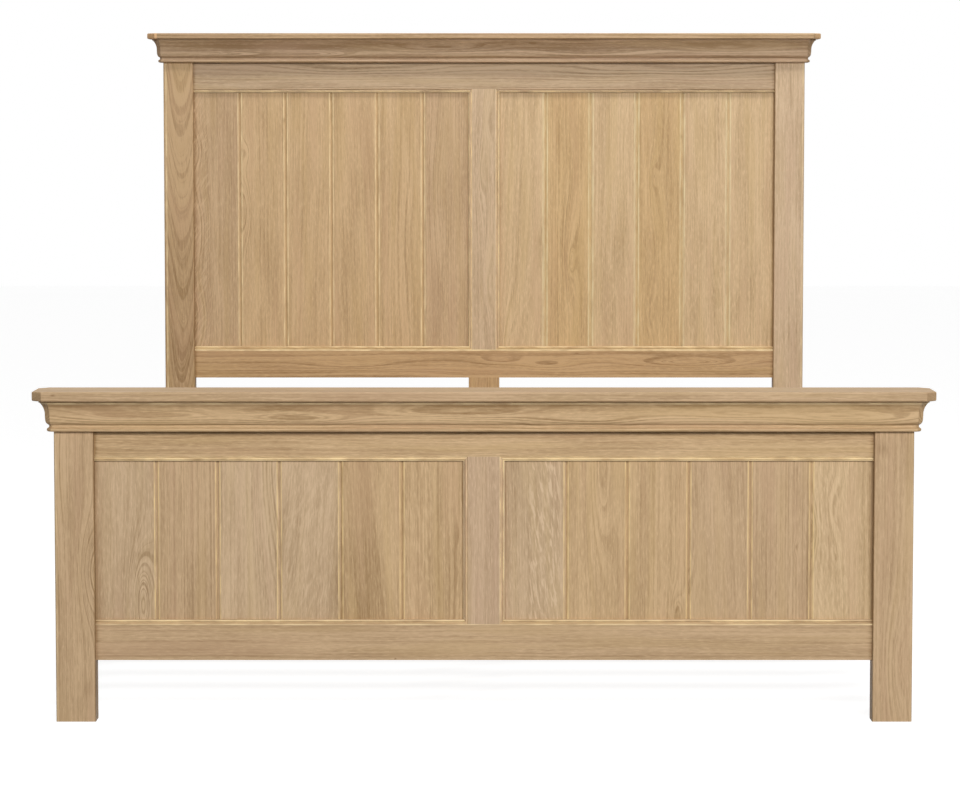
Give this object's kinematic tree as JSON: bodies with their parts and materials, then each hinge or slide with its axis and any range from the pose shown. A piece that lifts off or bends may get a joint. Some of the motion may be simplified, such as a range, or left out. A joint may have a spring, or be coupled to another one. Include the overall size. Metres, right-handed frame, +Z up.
{
  "type": "panel bed",
  "caption": "Oak panel bed for a king-size mattress: framed tongue-and-groove footboard and tall headboard under moulded caps, with side rails and a slatted base.",
  "frame": {"origin": "on the floor, under the middle of the bed's bounding box", "axes": "+X across the bed to the right as seen from the foot, +Y from the foot to the head, +Z up"},
  "size_m": [1.696, 2.152, 1.363],
  "materials": {
    "oak_frame": "satin lacquered oak",
    "oak_boards": "satin lacquered oak",
    "oak_mouldings": "satin lacquered oak",
    "pine": "planed, unfinished pine",
    "beech": "plain beech",
    "zinc_plate": "bright zinc plated",
    "zinc_bolts": "bright zinc plated",
    "brass_inserts": "machined"
  },
  "bodies": {
    "root": {"beam_hangers": "zinc_plate", "bearer_left": "pine", "bearer_right": "pine", "bolt_inserts": "brass_inserts", "bracket_bolts": "zinc_bolts", "centre_beam": "pine", "centre_leg_foot": "pine", "centre_leg_head": "pine", "corner_brackets": "zinc_plate", "foot_board_left_1": "oak_boards", "foot_board_left_2": "oak_boards", "foot_board_left_3": "oak_boards", "foot_board_left_4": "oak_boards", "foot_board_left_5": "oak_boards", "foot_board_left_6": "oak_boards", "foot_board_right_1": "oak_boards", "foot_board_right_2": "oak_boards", "foot_board_right_3": "oak_boards", "foot_board_right_4": "oak_boards", "foot_board_right_5": "oak_boards", "foot_board_right_6": "oak_boards", "foot_bottom_rail": "oak_frame", "foot_cap": "oak_mouldings", "foot_cap_tongue": "beech", "foot_cornice_back": "oak_mouldings", "foot_cornice_front": "oak_mouldings", "foot_cornice_left": "oak_mouldings", "foot_cornice_right": "oak_mouldings", "foot_muntin": "oak_frame", "foot_post_left": "oak_frame", "foot_post_right": "oak_frame", "foot_top_rail": "oak_frame", "head_board_left_1": "oak_boards", "head_board_left_2": "oak_boards", "head_board_left_3": "oak_boards", "head_board_left_4": "oak_boards", "head_board_left_5": "oak_boards", "head_board_left_6": "oak_boards", "head_board_right_1": "oak_boards", "head_board_right_2": "oak_boards", "head_board_right_3": "oak_boards", "head_board_right_4": "oak_boards", "head_board_right_5": "oak_boards", "head_board_right_6": "oak_boards", "head_bottom_rail": "oak_frame", "head_cap": "oak_mouldings", "head_cap_tongue": "beech", "head_centre_leg": "oak_frame", "head_cornice_front": "oak_mouldings", "head_cornice_left": "oak_mouldings", "head_cornice_right": "oak_mouldings", "head_muntin": "oak_frame", "head_post_left": "oak_frame", "head_post_right": "oak_frame", "head_top_rail": "oak_frame", "side_rail_left": "oak_frame", "side_rail_right": "oak_frame", "slats": "pine"}
  },
  "joints": []
}
